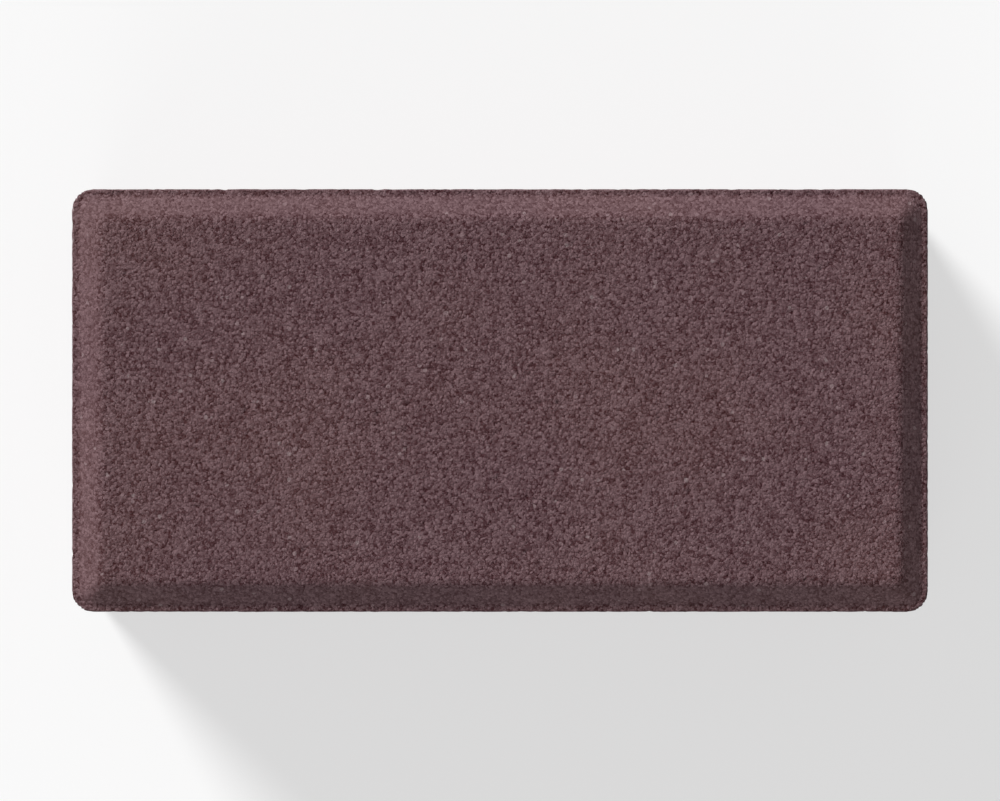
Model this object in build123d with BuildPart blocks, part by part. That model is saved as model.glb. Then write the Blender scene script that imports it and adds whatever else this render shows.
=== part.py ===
"""Rectangular concrete paving stone with a pressed chamfer, in millimetres.

The stone lies on its bed face. The origin is the centre of that face, +X runs along
the stone's length and +Z points up to the wearing face.
"""

import os

from build123d import *

# Plan: the laying module less the joint that is left between two stones
module_length = 200.0
module_width = 100.0
joint_width = 2.0
corner_radius = 5.0  # upright corners of the mould

# Height
thickness = 60.0

# Border that the tamper presses round the wearing face
chamfer_width = 5.5
chamfer_depth = 4.5
ledge_width = 1.6  # level rim left between the chamfer and the mould wall
face_corner_radius = 1.5  # corners of the wearing face, where two chamfers meet

# Soft edges of pressed concrete
bed_radius = 0.8
rim_radius = 0.5
arris_radius = 2.5

# Sizes that follow from the ones above
stone_length = module_length - joint_width
stone_width = module_width - joint_width
ledge_height = thickness - chamfer_depth
chamfer_foot_length = stone_length - 2 * ledge_width
chamfer_foot_width = stone_width - 2 * ledge_width
chamfer_foot_radius = corner_radius - ledge_width
face_length = chamfer_foot_length - 2 * chamfer_width
face_width = chamfer_foot_width - 2 * chamfer_width

with BuildPart() as paving_stone:
    # Upright body, from the bed face to the ledge
    with BuildSketch() as footprint:
        RectangleRounded(stone_length, stone_width, corner_radius)
    extrude(amount=ledge_height)

    # Crown: four flat chamfers rise from inside the ledge to the wearing face and meet at the corners
    with BuildSketch(Plane.XY.offset(ledge_height)) as chamfer_foot:
        RectangleRounded(chamfer_foot_length, chamfer_foot_width, chamfer_foot_radius)
    with BuildSketch(Plane.XY.offset(thickness)) as wearing_face:
        RectangleRounded(face_length, face_width, face_corner_radius)
    loft(ruled=True)

    # Outer edges of the level faces, from the lowest: the bed, the ledge's rim and the wearing face's arris
    for level, edge_radius in enumerate((bed_radius, rim_radius, arris_radius)):
        level_face = paving_stone.faces().filter_by(Axis.Z).sort_by(Axis.Z)[level]
        fillet(level_face.outer_wire().edges(), edge_radius)

paving_stone.part.label = "paving_stone"

os.makedirs("parts", exist_ok=True)
export_step(paving_stone.part, "parts/paving_stone.step")
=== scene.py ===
import math

import bmesh
import bpy
import numpy as np
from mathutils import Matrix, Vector


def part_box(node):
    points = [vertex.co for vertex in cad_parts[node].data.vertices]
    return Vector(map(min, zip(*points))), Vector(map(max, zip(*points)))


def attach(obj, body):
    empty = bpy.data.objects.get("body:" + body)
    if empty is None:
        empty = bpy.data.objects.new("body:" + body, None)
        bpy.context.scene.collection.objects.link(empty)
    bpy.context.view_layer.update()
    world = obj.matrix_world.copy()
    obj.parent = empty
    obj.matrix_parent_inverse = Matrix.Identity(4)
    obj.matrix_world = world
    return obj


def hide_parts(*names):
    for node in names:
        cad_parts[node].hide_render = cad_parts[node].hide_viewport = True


# All lengths are in metres, but patterns and relief are written in millimetres
mm = 0.001

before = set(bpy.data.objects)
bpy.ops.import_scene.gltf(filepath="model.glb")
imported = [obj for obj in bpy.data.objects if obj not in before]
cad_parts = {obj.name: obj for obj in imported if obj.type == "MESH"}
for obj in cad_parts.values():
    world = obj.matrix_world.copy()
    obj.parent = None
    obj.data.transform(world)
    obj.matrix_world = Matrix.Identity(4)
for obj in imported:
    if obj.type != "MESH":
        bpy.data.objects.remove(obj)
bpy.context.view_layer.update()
bedCorner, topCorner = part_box("paving_stone")
stoneSize = topCorner - bedCorner
print("frame loaded, stone of", [round(side / mm, 1) for side in stoneSize], "mm")


class Wire:
    # One output of a node tree, so that node maths reads as plain sums
    def __init__(self, tree, socket=None):
        self.tree = tree
        self.socket = socket

    # Any node: its settings first, then a value or a wire for each socket
    def node(self, kind, settings=None, sockets=None, output=0):
        made = self.tree.nodes.new(kind)
        for name, value in (settings or {}).items():
            setattr(made, name, value)
        for name, value in (sockets or {}).items():
            target = made.inputs[name]
            if isinstance(value, Wire):
                self.tree.links.new(value.socket, target)
            elif target.type == "RGBA":
                target.default_value = (*value, 1)
            else:
                target.default_value = value
        return Wire(self.tree, made.outputs[output]) if made.outputs else None

    # Another output of the same node
    def twin(self, name):
        return Wire(self.tree, self.socket.node.outputs[name])

    def maths(self, operation, first, second=0.0):
        return self.node("ShaderNodeMath", {"operation": operation}, {0: first, 1: second})

    def __add__(self, other):
        return self.maths("ADD", self, other)

    def __radd__(self, other):
        return self.maths("ADD", other, self)

    def __sub__(self, other):
        return self.maths("SUBTRACT", self, other)

    def __rsub__(self, other):
        return self.maths("SUBTRACT", other, self)

    def __mul__(self, other):
        return self.maths("MULTIPLY", self, other)

    def __rmul__(self, other):
        return self.maths("MULTIPLY", other, self)

    def __truediv__(self, other):
        return self.maths("DIVIDE", self, other)

    def __rtruediv__(self, other):
        return self.maths("DIVIDE", other, self)

    def __abs__(self):
        return self.maths("ABSOLUTE", self)

    # 0 at low and 1 at high, eased at both ends. High may be the lower number
    def ease(self, low, high):
        limits = {"Value": self, "From Min": low, "From Max": high}
        return self.node("ShaderNodeMapRange", {"interpolation_type": "SMOOTHSTEP"}, limits)

    def axes(self):
        split = self.node("ShaderNodeSeparateXYZ", sockets={"Vector": self})
        return [split.twin(axis) for axis in "XYZ"]

    # Vector sums, one number for each axis or channel
    def vector(self, operation, *parts):
        return self.node("ShaderNodeVectorMath", {"operation": operation}, dict(enumerate(parts)))

    def stretched(self, *factors):
        return self.vector("MULTIPLY", self, factors)

    def inMillimetres(self):
        return self.stretched(1 / mm, 1 / mm, 1 / mm)

    # The same place, pushed aside by a soft noise, so that no grain has straight sides
    def bent(self, width, reach):
        look = {"Vector": self, "Scale": 1 / width, "Detail": 1.0}
        push = self.node("ShaderNodeTexNoise", sockets=look, output="Color")
        return self.vector("MULTIPLY_ADD", push, [2 * reach] * 3, self)

    # Soft noise about 0, from about -1 to 1, with lumps of that width
    def noise(self, width, detail=2.0, roughness=0.5):
        look = {"Vector": self, "Scale": 1 / width, "Detail": detail, "Roughness": roughness}
        return (self.node("ShaderNodeTexNoise", sockets=look) - 0.5) * 2.0

    # Such a noise as a relief that lies between the form and that depth below it
    def sunk(self, depth):
        return (self - 1) * (depth / 2)

    # Grains of about that width: the distance from each one's middle, as a share of the width,
    # and three numbers from 0 to 1 that are the grain's own
    def grains(self, width):
        middle = self.node("ShaderNodeTexVoronoi", sockets={"Vector": self, "Scale": 1 / width})
        return middle, middle.twin("Color").axes()

    # Hollows of up to that radius in a share of the places: 0 outside, and up to 1 on the flat floor
    def hollows(self, spacing, radius, share):
        floorShare = 0.25
        leastSize = 0.001  # so that nothing is divided by 0
        middle, own = self.grains(spacing)
        size = own[0].ease(1 - share, 1.0) * (radius / spacing) + leastSize
        return (middle / size).ease(1.0, floorShare) * own[0].ease(1 - share, 1 - share / 2)

    # Mix has its colours at sockets 6 and 7 and at output 2
    def blend(self, factor, first, second):
        ends = {0: factor, 6: first, 7: second}
        return self.node("ShaderNodeMix", {"data_type": "RGBA"}, ends, 2)


def emptyTree(owner):
    owner.use_nodes = True
    owner.node_tree.nodes.clear()
    return Wire(owner.node_tree)


def useOnly(thing):
    bpy.ops.object.select_all(action="DESELECT")
    thing.select_set(True)
    bpy.context.view_layer.objects.active = thing


def applied(thing, kind, **settings):
    useOnly(thing)
    bpy.ops.object.modifier_add(type=kind)
    tool = thing.modifiers[-1]
    for name, value in settings.items():
        setattr(tool, name, value)
    bpy.ops.object.modifier_apply(modifier=tool.name)


# The stone's plain form: the mould wall, the level ledge and the chamfers round the wearing face
form = {
    "cornerRadius": 5.0 * mm,
    "cornerSegments": 8,
    "ledgeWidth": 1.6 * mm,
    "chamferWidth": 5.5 * mm,
    "chamferDepth": 4.5 * mm,
    "faceCornerRadius": 1.5 * mm,
    "arrisRadius": 2.5 * mm,
    "rimRadius": 0.5 * mm,
    "bedRadius": 0.8 * mm,
    "edgeSegments": 6,
    "leastTurn": 20.0,  # degrees from face to face at an edge that is rounded
    "gridPitch": 0.5 * mm,  # squares of the mesh that takes the relief
    "triangles": 192000,  # left after the flat parts are thinned
}
ledgeHeight = topCorner.z - form["chamferDepth"]
level = 0.01 * mm  # how far a corner may be off a level and still belong to it


def addOutline(length, width, height, radius):
    bpy.ops.mesh.primitive_plane_add(size=1, location=(0, 0, height))
    bpy.ops.transform.resize(value=(length, width, 1))
    bpy.ops.mesh.bevel(affect="VERTICES", offset=radius, segments=form["cornerSegments"])


def selectOnly(mesh, kind, wanted):
    bpy.ops.mesh.select_all(action="DESELECT")
    bpy.ops.mesh.select_mode(type=kind)
    cage = bmesh.from_edit_mesh(mesh)
    items = cage.faces if kind == "FACE" else cage.edges
    for item in items:
        item.select_set(wanted(item))
    bmesh.update_edit_mesh(mesh)


def roundEdges(mesh, height, radius):
    # The outer edges of a level face, told by the steeper face on their other side
    def outer(edge):
        onLevel = all(abs(corner.co.z - height) < level for corner in edge.verts)
        return onLevel and edge.calc_face_angle_signed(0) > math.radians(form["leastTurn"])

    selectOnly(mesh, "EDGE", outer)
    edge = next(edge for edge in bmesh.from_edit_mesh(mesh).edges if edge.select)
    reach = radius * math.tan(edge.calc_face_angle() / 2)
    bpy.ops.mesh.bevel(offset=reach, segments=form["edgeSegments"], clamp_overlap=False)


def buildForm():
    bpy.ops.object.select_all(action="DESELECT")
    bpy.ops.mesh.primitive_plane_add(size=1)
    stone = bpy.context.object
    stone.name = "pressed_paver"
    mesh = stone.data
    bpy.ops.object.mode_set(mode="EDIT")
    bpy.ops.mesh.delete(type="VERT")

    # Bed outline, drawn up to the ledge
    addOutline(stoneSize.x, stoneSize.y, bedCorner.z, form["cornerRadius"])
    selectOnly(mesh, "FACE", lambda face: True)
    rise = {"value": (0, 0, ledgeHeight - bedCorner.z)}
    bpy.ops.mesh.extrude_region_move(TRANSFORM_OT_translate=rise)

    # Ledge, with its middle left open for the crown
    selectOnly(mesh, "FACE", lambda face: face.calc_center_median().z > ledgeHeight - level)
    bpy.ops.mesh.inset(thickness=form["ledgeWidth"])
    bpy.ops.mesh.delete(type="ONLY_FACE")

    # Wearing face, joined to the ledge by the chamfers
    border = 2 * (form["ledgeWidth"] + form["chamferWidth"])
    bpy.ops.mesh.select_all(action="DESELECT")
    addOutline(stoneSize.x - border, stoneSize.y - border, topCorner.z, form["faceCornerRadius"])
    bpy.ops.mesh.select_mode(type="EDGE")
    bpy.ops.mesh.select_all(action="DESELECT")
    bpy.ops.mesh.select_non_manifold()
    bpy.ops.mesh.bridge_edge_loops()

    bpy.ops.mesh.select_all(action="SELECT")
    bpy.ops.mesh.normals_make_consistent(inside=False)
    roundEdges(mesh, bedCorner.z, form["bedRadius"])
    roundEdges(mesh, ledgeHeight, form["rimRadius"])
    roundEdges(mesh, topCorner.z, form["arrisRadius"])
    bpy.ops.object.mode_set(mode="OBJECT")
    print("form modelled:", len(mesh.polygons), "faces")
    return stone


stone = buildForm()
applied(stone, "REMESH", mode="VOXEL", voxel_size=form["gridPitch"])
print("even mesh:", len(stone.data.polygons), "faces")

# Relief in millimetres, all of it pressed into the form, so that the stone keeps its size.
# A pair says where something begins and where it is whole
relief = {
    "topStart": 0.3,  # chamfers and wearing face, above the ledge
    "topWhole": 1.0,
    "faceTilt": (0.84, 0.98),  # parts of the stone, by how far they look up
    "bedTilt": (-0.80, -0.95),
    "wallTilt": (0.5, 0.2),
    "waveWidth": 14.0,  # slow rise and fall of every side
    "waveDepth": 0.10,
    "sandWidth": 1.4,  # packed sand, deepest on the wearing face
    "sandDepth": 0.32,
    "chamferSand": 0.5,  # share of that depth on the chamfers
    "wallSand": 0.85,  # and on the walls and the bed
    "bendWidth": 1.1,  # what pulls pits and pores out of round
    "bendReach": 0.6,
    "pitSpacing": 3.4,  # small open pits in the wearing face
    "pitRadius": 0.85,
    "pitDepth": 0.45,
    "pitShare": 0.5,
    "dragWidth": 1.5,  # lines that the mould draws up the walls
    "dragLength": 45.0,
    "dragDepth": 0.5,
    "patchWidth": 22.0,  # loose patches of the walls and the bed, which hold the pores and voids
    "patchFoot": 0.35,  # how much more open the walls are at their foot than at the rim
    "patchEdge": (-0.2, 0.35),
    "poreSpacing": 3.0,
    "poreRadius": 1.4,
    "poreDepth": 0.9,
    "poreShare": 0.8,
    "voidSpacing": 11.0,  # few larger voids where the mix didn't close
    "voidRadius": 3.4,
    "voidDepth": 1.6,
    "voidShare": 0.5,
    "voidBendWidth": 2.4,
    "voidBendReach": 1.6,
    "crumbWidth": 2.6,  # crumbly rim and bed edge
    "crumbEdge": (0.0, 0.8),
    "crumbReach": (1.8, 0.2),
    "rimCrumb": 0.36,
    "bedCrumb": 0.7,
    "grooveStart": 0.75,  # groove at the chamfers' foot, behind a thin lip of mix that squeezed up
    "grooveFoot": 1.25,
    "grooveEnd": 2.2,
    "grooveDepth": 0.16,
    "breakWidth": 5.0,  # where the groove fades out
    "breakEdge": (-0.4, 0.3),
}


# How far a place lies inside the mould wall, true within the corner radius of it
def insideWall(place):
    radius = form["cornerRadius"] / mm
    tooHigh = 1000.0  # higher than any place, so that height doesn't count
    straight = (stoneSize.x / 2 / mm - radius, stoneSize.y / 2 / mm - radius, tooHigh)
    beyond = place.vector("SUBTRACT", place.vector("ABSOLUTE", place), straight)
    beyond = place.vector("MAXIMUM", beyond, (0, 0, 0))
    return radius - place.node("ShaderNodeVectorMath", {"operation": "LENGTH"}, {0: beyond}, "Value")


def pressRelief(stone):
    tree = bpy.data.node_groups.new("stone relief", "GeometryNodeTree")
    tree.interface.new_socket("Geometry", in_out="INPUT", socket_type="NodeSocketGeometry")
    tree.interface.new_socket("Geometry", in_out="OUTPUT", socket_type="NodeSocketGeometry")
    net = Wire(tree)
    body = net.node("NodeGroupInput")
    normal = net.node("GeometryNodeInputNormal")
    place = net.node("GeometryNodeInputPosition").inMillimetres()
    height = place.axes()[2]
    tilt = normal.axes()[2]
    ledge = ledgeHeight / mm

    # Where each part of the stone lies
    top = height.ease(ledge + relief["topStart"], ledge + relief["topWhole"])
    face = tilt.ease(*relief["faceTilt"]) * top
    bed = tilt.ease(*relief["bedTilt"])
    wall = abs(tilt).ease(*relief["wallTilt"]) * (1 - top)
    inset = insideWall(place)
    rim = abs(height - ledge).ease(*relief["crumbReach"])
    bedEdge = height.ease(*relief["crumbReach"]) * inset.ease(*relief["crumbReach"])

    # Every side: a slight wave and packed sand
    wave = place.noise(relief["waveWidth"]).sunk(relief["waveDepth"])
    sand = place.noise(relief["sandWidth"], detail=3.0, roughness=0.6).sunk(relief["sandDepth"])
    smooth = relief["chamferSand"]
    share = smooth + (1 - smooth) * face + (relief["wallSand"] - smooth) * (wall + bed)

    # Wearing face: small open pits
    bent = place.bent(relief["bendWidth"], relief["bendReach"])
    pits = bent.hollows(relief["pitSpacing"], relief["pitRadius"], relief["pitShare"])
    hollow = sand * share - pits * face * relief["pitDepth"]

    # Walls and bed: drawn upwards out of the mould, with pores and voids in loose patches
    drawn = place.stretched(1, 1, relief["dragWidth"] / relief["dragLength"])
    drag = drawn.noise(relief["dragWidth"]).sunk(relief["dragDepth"])
    loose = relief["patchFoot"] * (0.5 - height / ledge)
    patch = (place.noise(relief["patchWidth"]) + loose).ease(*relief["patchEdge"])
    pores = bent.hollows(relief["poreSpacing"], relief["poreRadius"], relief["poreShare"]) * patch
    ragged = place.bent(relief["voidBendWidth"], relief["voidBendReach"])
    voids = ragged.hollows(relief["voidSpacing"], relief["voidRadius"], relief["voidShare"]) * patch
    gaps = pores * relief["poreDepth"] + voids * relief["voidDepth"]
    hollow = hollow - gaps * (wall + bed)

    # Rim and bed edge: crumbly, and behind the rim's lip a groove that comes and goes
    broken = rim * relief["rimCrumb"] + bedEdge * relief["bedCrumb"]
    loss = place.noise(relief["crumbWidth"], detail=3.0, roughness=0.65).ease(*relief["crumbEdge"])
    groove = inset.ease(relief["grooveStart"], relief["grooveFoot"])
    groove = groove * inset.ease(relief["grooveEnd"], form["ledgeWidth"] / mm)
    groove = groove * rim * place.noise(relief["breakWidth"], detail=3.0).ease(*relief["breakEdge"])
    pushed = wave + drag * wall + hollow - loss * broken - groove * relief["grooveDepth"]

    push = net.node(
        "ShaderNodeVectorMath", {"operation": "SCALE"}, {"Vector": normal, "Scale": pushed * mm}
    )
    pressed = net.node("GeometryNodeSetPosition", sockets={"Geometry": body, "Offset": push})
    kept = net.node(
        "GeometryNodeStoreNamedAttribute",
        {"data_type": "FLOAT", "domain": "POINT"},
        {"Geometry": pressed, "Name": "depth", "Value": hollow},
    )
    net.node("NodeGroupOutput", sockets={"Geometry": kept})
    applied(stone, "NODES", node_group=tree)


pressRelief(stone)
triangles = 2 * len(stone.data.polygons)
applied(stone, "DECIMATE", ratio=form["triangles"] / triangles)
useOnly(stone)
bpy.ops.object.shade_smooth()
stone.data.calc_loop_triangles()
print("relief pressed, thinned to", len(stone.data.loop_triangles), "triangles")

# Map for pictures baked from the finish, in pixels of a square picture. Its islands go by place and
# not by slope, which would cut the rough mesh to crumbs
bakeMap = {
    "side": 1024,
    "gap": 9,
    "topScale": 4.9,  # pixels to the millimetre
    "wallScale": 3.2,
    "bedScale": 1.45,
}


def numbersOf(items, name, kind, width):
    found = np.empty(len(items) * width, kind)
    items.foreach_get(name, found)
    return found.reshape(-1, width) if width > 1 else found


def layBakeMap(stone):
    mesh = stone.data
    middles = numbersOf(mesh.polygons, "center", np.float32, 3)
    counts = numbersOf(mesh.polygons, "loop_total", np.int32, 1)
    corners = numbersOf(mesh.loops, "vertex_index", np.int32, 1)
    places = numbersOf(mesh.vertices, "co", np.float32, 3)[corners]

    # A face is the wall's where it lies nearer to the mould wall than to the ledge and the bed
    half = np.array(stoneSize)[:2] / 2
    beyond = np.maximum(abs(middles[:, :2]) - half + form["cornerRadius"], 0)
    inset = form["cornerRadius"] - np.hypot(*beyond.T)
    isTop = ledgeHeight - middles[:, 2] < inset
    isBed = middles[:, 2] - bedCorner.z < inset
    isWall = ~(isTop | isBed)
    isEnd = half[0] - abs(middles[:, 0]) < half[1] - abs(middles[:, 1])
    ends, sides = isWall & isEnd, isWall & ~isEnd
    isRight, isBack = middles[:, 0] > 0, middles[:, 1] > 0

    # Each row of islands: which faces, the directions that run across and up it, and its scale
    length, width, up = np.eye(3)
    topScale, wallScale, bedScale = bakeMap["topScale"], bakeMap["wallScale"], bakeMap["bedScale"]
    rows = [
        [(isTop, length, width, topScale)],
        [(sides & ~isBack, length, up, wallScale), (ends & isRight, width, up, wallScale)],
        [(sides & isBack, -length, up, wallScale), (ends & ~isRight, -width, up, wallScale)],
        [(isBed, length, -width, bedScale)],
    ]
    spots = np.zeros((len(corners), 2), np.float32)
    rowStart = bakeMap["gap"]
    for row in rows:
        left, tallest = bakeMap["gap"], 0
        for faces, *ways, scale in row:
            mine = np.repeat(faces, counts)
            spread = places[mine] @ np.array(ways).T * scale / mm
            low, high = spread.min(0), spread.max(0)
            spots[mine] = spread - low + (left, rowStart)
            left = left + high[0] - low[0] + bakeMap["gap"]
            tallest = max(tallest, high[1] - low[1])
        rowStart = rowStart + tallest + bakeMap["gap"]
    layer = mesh.uv_layers.new(name="OFBake")
    layer.uv.foreach_set("vector", (spots / bakeMap["side"]).ravel())
    print("bake map laid,", round(100 * rowStart / bakeMap["side"]), "% of its height used")


layBakeMap(stone)

# Colours are linear. Widths and heights are in millimetres, and tones are shares of grainTint.
# A pair says where something begins and where it is whole
concrete = {
    "faceStart": 1.4,  # wearing face, by the distance below its top
    "faceWhole": 0.5,
    "wallStart": 0.6,  # walls, above the ledge
    "wallWhole": 0.2,  # and below it
    "paste": (0.1312, 0.0737, 0.0822),
    "warmPaste": (0.1365, 0.0758, 0.0807),
    "warmCloud": (-0.4, 0.4),
    "grainTint": (0.131, 0.094, 0.101),  # what a light grain adds to the paste and a dark one takes
    "darkest": (0.016, 0.006, 0.007),
    "paleGrit": (0.23, 0.165, 0.17),
    "paleShare": 0.03,
    "cloudWidth": 50.0,
    "cloudTone": 0.05,
    "mottleWidth": 8.0,
    "mottleTone": 0.06,
    "bendWidth": 0.6,  # what pulls the grains out of shape
    "bendReach": 0.25,
    "sandWidth": 0.55,
    "sandTone": 0.95,
    "sandHeight": 0.20,
    "seamReach": (0.42, 0.72),  # dark seam between grains, from their middles
    "seamTone": 0.25,
    "gritWidth": 1.2,  # larger grains, a few of them bare of paste
    "gritReach": (0.46, 0.36),
    "gritTone": 1.15,
    "gritShare": 0.3,
    "gritSoftness": 0.03,  # of the step from held to bare
    "dustWidth": 0.34,
    "dustTone": 0.6,
    "dustHeight": 0.11,
    "dustRoughness": 0.10,
    "streakWidth": 2.4,  # up the walls
    "streakLength": 60.0,
    "streakTone": 0.14,
    "footLightTone": 0.08,  # painted light, the chamfers paler at their foot
    "footStart": 1.0,  # and how far below the wearing face it begins
    "chamferGrain": 0.75,  # share of the grain on the chamfers, which the tamper smooths
    "hollowDepth": (-0.24, -0.64),  # painted shade, darker in the hollows
    "hollowShadeTone": 0.45,
    "roughness": 0.82,
    "chamferPolish": 0.12,
    "specular": 0.15,
}


def brownConcrete():
    finish = bpy.data.materials.new("brown_concrete_finish")
    net = emptyTree(finish)
    place = net.node("ShaderNodeTexCoord", output="Object").inMillimetres()
    height = place.axes()[2]
    depth = net.node("ShaderNodeAttribute", {"attribute_name": "depth"}, output="Fac")  # of the relief

    # Where each part of the stone lies
    top, ledge = topCorner.z / mm, ledgeHeight / mm
    face = height.ease(top - concrete["faceStart"], top - concrete["faceWhole"])
    wall = height.ease(ledge + concrete["wallStart"], ledge - concrete["wallWhole"])
    # Painted light: the chamfers lighter towards their foot
    foot = height.ease(top - concrete["footStart"], ledge) * (1 - wall)
    chamfer = (1 - face) * (1 - wall)
    coarse = 1 - (1 - concrete["chamferGrain"]) * chamfer

    # Sand and grit, held in a dusty paste
    bent = place.bent(concrete["bendWidth"], concrete["bendReach"])
    dust = place.noise(concrete["dustWidth"], roughness=0.6)
    sandMiddle, sandOwn = bent.grains(concrete["sandWidth"])
    gritMiddle, gritOwn = bent.grains(concrete["gritWidth"])
    seam = sandMiddle.ease(*concrete["seamReach"])
    sand = (sandOwn[0] - 0.5) * concrete["sandTone"] - seam * concrete["seamTone"]
    held = 1 - concrete["gritShare"]
    bare = gritOwn[0].ease(held, held + concrete["gritSoftness"]) * gritMiddle.ease(*concrete["gritReach"])
    grit = (gritOwn[1] - 0.5) * concrete["gritTone"]
    grain = sand + bare * (grit - sand) + dust * concrete["dustTone"]

    # Slow changes of tone over the stone, with painted light at the chamfers' foot and painted shade in
    # the hollows
    cloud = place.noise(concrete["cloudWidth"], detail=3.0)
    mottle = place.noise(concrete["mottleWidth"], detail=3.0, roughness=0.6)
    drawn = place.stretched(1, 1, concrete["streakWidth"] / concrete["streakLength"])
    streak = drawn.noise(concrete["streakWidth"], detail=3.0, roughness=0.6) * wall
    # Painted shade: the colour is darker where the relief lies deep
    hollow = depth.ease(*concrete["hollowDepth"])
    slow = cloud * concrete["cloudTone"] + mottle * concrete["mottleTone"]
    slow = slow + streak * concrete["streakTone"] + foot * concrete["footLightTone"]
    tone = grain * coarse + slow - hollow * concrete["hollowShadeTone"]

    shade = net.node("ShaderNodeCombineXYZ", sockets={0: tone, 1: tone, 2: tone})
    paste = net.blend(cloud.ease(*concrete["warmCloud"]), concrete["paste"], concrete["warmPaste"])
    colour = net.vector("MULTIPLY_ADD", shade, concrete["grainTint"], paste)
    pale = bare * gritOwn[1].ease(1 - concrete["paleShare"] / concrete["gritShare"], 1.0)
    colour = net.blend(pale * coarse, colour, concrete["paleGrit"])
    colour = net.vector("MAXIMUM", colour, concrete["darkest"])

    bumps = dust * concrete["dustHeight"] - sandMiddle * concrete["sandHeight"]
    bump = net.node("ShaderNodeBump", sockets={"Distance": mm, "Height": bumps * coarse})
    rough = concrete["roughness"] + concrete["dustRoughness"] * dust - concrete["chamferPolish"] * chamfer

    shader = net.node(
        "ShaderNodeBsdfPrincipled",
        sockets={
            "Base Color": colour,
            "Roughness": rough,
            "Normal": bump,
            "Specular IOR Level": concrete["specular"],
        },
    )
    net.node("ShaderNodeOutputMaterial", sockets={"Surface": shader})
    return finish


stone.data.materials.clear()
stone.data.materials.append(brownConcrete())
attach(stone, "root")
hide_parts("paving_stone")
print("finish laid on")

# Straight down on the wearing face, as the stone is seen once it is laid
studio = {
    "cameraHeight": 1.35,
    "frameWidth": 0.230,  # of the picture, at the wearing face
    "clipStart": 0.05,
    "clipEnd": 20.0,
    "skyStrength": 0.20,
    "keyStrength": 4.08,
    "keySpread": 16.0,  # degrees across, so that shadows are soft
    "keyTurn": 128.0,  # degrees from +X
    "keyRise": 32.0,
    "fillStrength": 1.2,  # from the long front side
    "fillSpread": 60.0,
    "fillTurn": 262.0,
    "fillRise": 12.0,
    "floorSize": 8.0,
    "floorColour": (0.9, 0.9, 0.9),
    "floorGlow": 0.6,  # share of plain white in what the camera sees of the floor
}


def floorPaint():
    paint = bpy.data.materials.new("floor_paint")
    net = emptyTree(paint)
    matte = net.node("ShaderNodeBsdfDiffuse", sockets={"Color": studio["floorColour"]})
    white = net.node("ShaderNodeEmission", sockets={"Color": (1, 1, 1), "Strength": 1.0})
    rays = net.node("ShaderNodeLightPath", output="Is Camera Ray")
    seen = rays + rays.twin("Is Glossy Ray") + rays.twin("Is Transmission Ray")
    paper = net.node("ShaderNodeMixShader", sockets={0: seen * studio["floorGlow"], 1: matte, 2: white})
    net.node("ShaderNodeOutputMaterial", sockets={"Surface": paper})
    return paint


def layFloor():
    bpy.ops.object.select_all(action="DESELECT")
    bpy.ops.mesh.primitive_plane_add(size=studio["floorSize"], location=(0, 0, bedCorner.z))
    floor = bpy.context.object
    floor.name = "studio_floor"
    floor.data.materials.append(floorPaint())


def lightSky():
    world = bpy.data.worlds.new("studio_light")
    net = emptyTree(world)
    sky = {"Color": (1, 1, 1), "Strength": studio["skyStrength"]}
    glow = net.node("ShaderNodeBackground", sockets=sky)
    net.node("ShaderNodeOutputWorld", sockets={"Surface": glow})
    bpy.context.scene.world = world


def addSun(name):
    turn, rise = math.radians(studio[name + "Turn"]), math.radians(studio[name + "Rise"])
    towards = Vector((math.cos(turn) * math.cos(rise), math.sin(turn) * math.cos(rise), math.sin(rise)))
    bpy.ops.object.light_add(type="SUN", location=towards)
    lamp = bpy.context.object
    lamp.name = name + "_lamp"
    lamp.data.energy = studio[name + "Strength"]
    lamp.data.angle = math.radians(studio[name + "Spread"])
    lamp.rotation_euler = towards.to_track_quat("Z", "Y").to_euler()


def aimCamera():
    bpy.ops.object.camera_add(location=(0, 0, topCorner.z + studio["cameraHeight"]))
    camera = bpy.context.object
    camera.data.lens = camera.data.sensor_width * studio["cameraHeight"] / studio["frameWidth"]
    camera.data.clip_start = studio["clipStart"]
    camera.data.clip_end = studio["clipEnd"]
    bpy.context.scene.camera = camera
    bpy.context.scene.view_settings.view_transform = "Standard"


layFloor()
lightSky()
addSun("key")
addSun("fill")
aimCamera()
print("studio set")
